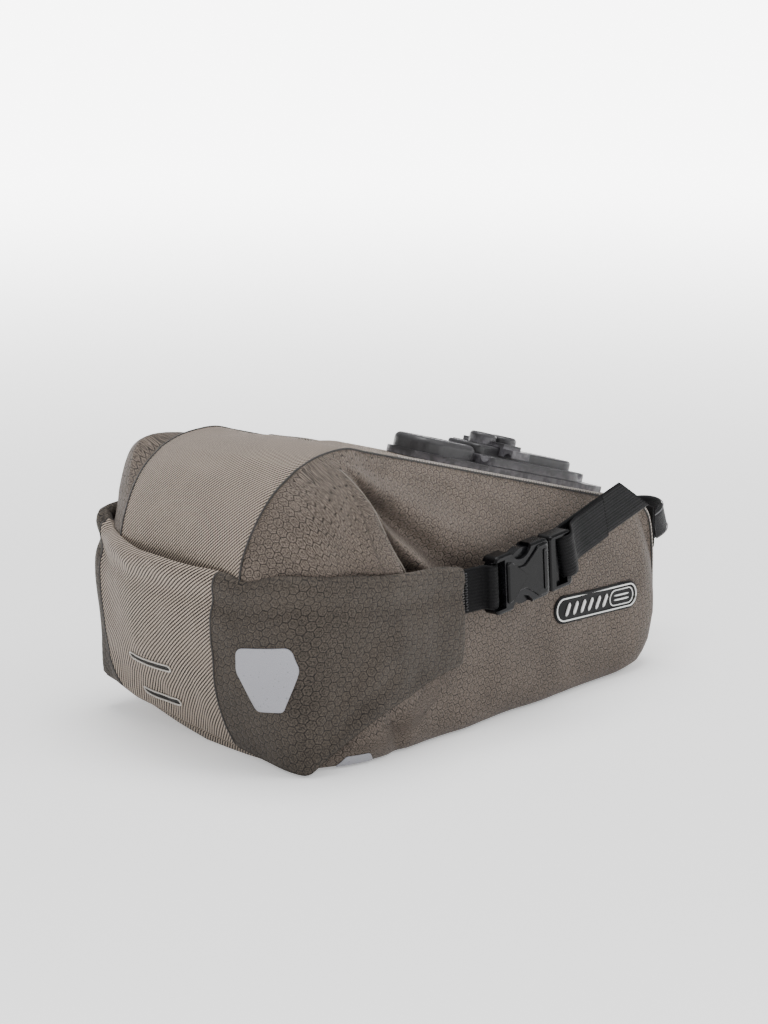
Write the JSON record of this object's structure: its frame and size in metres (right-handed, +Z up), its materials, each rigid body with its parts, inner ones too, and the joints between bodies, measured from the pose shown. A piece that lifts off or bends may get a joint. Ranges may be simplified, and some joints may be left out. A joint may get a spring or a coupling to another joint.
{
  "type": "saddle bag",
  "caption": "Roll-closure bicycle saddle bag with side release buckles, a quick-release saddle rail clamp on top and a strap for the seat post.",
  "frame": {"origin": "bottom centre of the whole bag, on the surface it stands on", "axes": "+X forward, towards the seat post; +Y to the bag's left; +Z up"},
  "size_m": [0.3779, 0.1914, 0.1625],
  "materials": {
    "ripstop_fabric": "coated nylon with an embossed hexagonal grid, warm dark taupe",
    "twill_fabric": "light beige-grey twill, coated inside",
    "stiffener_sheet": "stiff black sheet",
    "reflective_film": "silver-grey retroreflective film",
    "patch": "black patch with pale bars",
    "webbing": "black ribbed webbing",
    "hook_and_loop": "smooth black band",
    "buckle_plastic": "satin black moulded plastic",
    "mount_plastic": "fine-grained black moulded plastic",
    "steel": "zinc-plated steel"
  },
  "bodies": {
    "bag": {"centre_panel": "twill_fabric", "side_panel_right": "ripstop_fabric", "side_panel_left": "ripstop_fabric", "closure_panel": "twill_fabric", "closure_wing_right": "ripstop_fabric", "closure_wing_left": "ripstop_fabric", "closure_inner_roll": "twill_fabric", "closure_stiffener": "stiffener_sheet", "reflector_right": "reflective_film", "reflector_left": "reflective_film", "buckle_female_right": "buckle_plastic", "buckle_female_left": "buckle_plastic", "wing_webbing_right": "webbing", "wing_webbing_left": "webbing", "front_strap_right": "webbing", "front_strap_left": "webbing", "nose_webbing": "webbing", "side_patch_right": "patch", "side_patch_left": "patch", "seatpost_strap_base": "hook_and_loop", "mount_base": "mount_plastic", "tongue_spring": "steel", "top_stiffener": "stiffener_sheet", "base_screws": "steel", "base_nuts": "steel"},
    "rail_bracket": {"rail_bracket": "mount_plastic", "clamp_nuts": "steel"},
    "clamp_jaw": {"clamp_jaw": "mount_plastic"},
    "clamp_bolt_rear": {"clamp_bolt_rear": "steel"},
    "clamp_bolt_front": {"clamp_bolt_front": "steel"},
    "release_tongue": {"release_tongue": "mount_plastic"},
    "seatpost_strap": {"seatpost_strap_end": "hook_and_loop"},
    "buckle_male_right": {"buckle_male_right": "buckle_plastic", "strap_tail_right": "webbing"},
    "buckle_prong_upper_right": {"buckle_prong_upper_right": "buckle_plastic"},
    "buckle_prong_lower_right": {"buckle_prong_lower_right": "buckle_plastic"},
    "buckle_male_left": {"buckle_male_left": "buckle_plastic", "strap_tail_left": "webbing"},
    "buckle_prong_upper_left": {"buckle_prong_upper_left": "buckle_plastic"},
    "buckle_prong_lower_left": {"buckle_prong_lower_left": "buckle_plastic"}
  },
  "joints": [
    {"name": "bracket_slide", "type": "slide", "parent": "bag", "child": "rail_bracket", "axis": [0.9603, 0, -0.279], "range_m": [0, 0.022], "deforming": ["release_tongue"]},
    {"name": "tongue_press", "type": "hinge", "parent": "bag", "child": "release_tongue", "pos_m": [0.00174, 0, 0.13757], "axis": [0, 1, 0], "range_deg": [0, 5], "stiffness_Nm_per_rad": 0.6, "springref_deg": -1.72, "deforming": ["tongue_spring"]},
    {"name": "clamp_jaw_lift", "type": "slide", "parent": "rail_bracket", "child": "clamp_jaw", "axis": [0.279, 0, 0.9603], "range_m": [0, 0.0024]},
    {"name": "clamp_bolt_rear_turn", "type": "hinge", "parent": "clamp_jaw", "child": "clamp_bolt_rear", "pos_m": [0.0428, 0, 0.13553], "axis": [-0.279, 0, -0.9603], "range_deg": [0, 1090]},
    {"name": "clamp_bolt_front_turn", "type": "hinge", "parent": "clamp_jaw", "child": "clamp_bolt_front", "pos_m": [0.05817, 0, 0.13107], "axis": [-0.279, 0, -0.9603], "range_deg": [0, 1090]},
    {"name": "seatpost_strap_open", "type": "hinge", "parent": "bag", "child": "seatpost_strap", "pos_m": [0.169, 0.0177, 0.07], "axis": [-0.2924, 0, 0.9563], "range_deg": [0, 80]},
    {"name": "buckle_right_release", "type": "slide", "parent": "bag", "child": "buckle_male_right", "axis": [0.987, 0.1451, 0.0698], "range_m": [0, 0.022], "deforming": ["buckle_prong_upper_right", "buckle_prong_lower_right"]},
    {"name": "buckle_right_squeeze", "type": "hinge", "parent": "buckle_male_right", "child": "buckle_prong_upper_right", "pos_m": [0.01177, -0.08263, 0.09372], "axis": [0.1454, -0.9894, 0], "range_deg": [0, 7], "stiffness_Nm_per_rad": 0.8, "springref_deg": -1.15},
    {"name": "buckle_right_squeeze_lower", "type": "hinge", "parent": "buckle_male_right", "child": "buckle_prong_lower_right", "pos_m": [0.01295, -0.08246, 0.07676], "axis": [-0.1454, 0.9894, 0], "range_deg": [0, 7.2], "stiffness_Nm_per_rad": 0.8, "springref_deg": -1.15},
    {"name": "buckle_left_release", "type": "slide", "parent": "bag", "child": "buckle_male_left", "axis": [0.987, -0.1451, 0.0698], "range_m": [0, 0.022], "deforming": ["buckle_prong_upper_left", "buckle_prong_lower_left"]},
    {"name": "buckle_left_squeeze", "type": "hinge", "parent": "buckle_male_left", "child": "buckle_prong_upper_left", "pos_m": [0.01177, 0.08263, 0.09372], "axis": [-0.1454, -0.9894, 0], "range_deg": [0, 7], "stiffness_Nm_per_rad": 0.8, "springref_deg": -1.15},
    {"name": "buckle_left_squeeze_lower", "type": "hinge", "parent": "buckle_male_left", "child": "buckle_prong_lower_left", "pos_m": [0.01295, 0.08246, 0.07676], "axis": [0.1454, 0.9894, 0], "range_deg": [0, 7.2], "stiffness_Nm_per_rad": 0.8, "springref_deg": -1.15}
  ],
  "couplings": [
    {"joint": "clamp_bolt_rear_turn", "follows": "clamp_jaw_lift", "rad_per_m": 7854},
    {"joint": "clamp_bolt_front_turn", "follows": "clamp_jaw_lift", "rad_per_m": 7854},
    {"joint": "buckle_right_squeeze_lower", "follows": "buckle_right_squeeze", "ratio": 1},
    {"joint": "buckle_left_squeeze_lower", "follows": "buckle_left_squeeze", "ratio": 1}
  ]
}
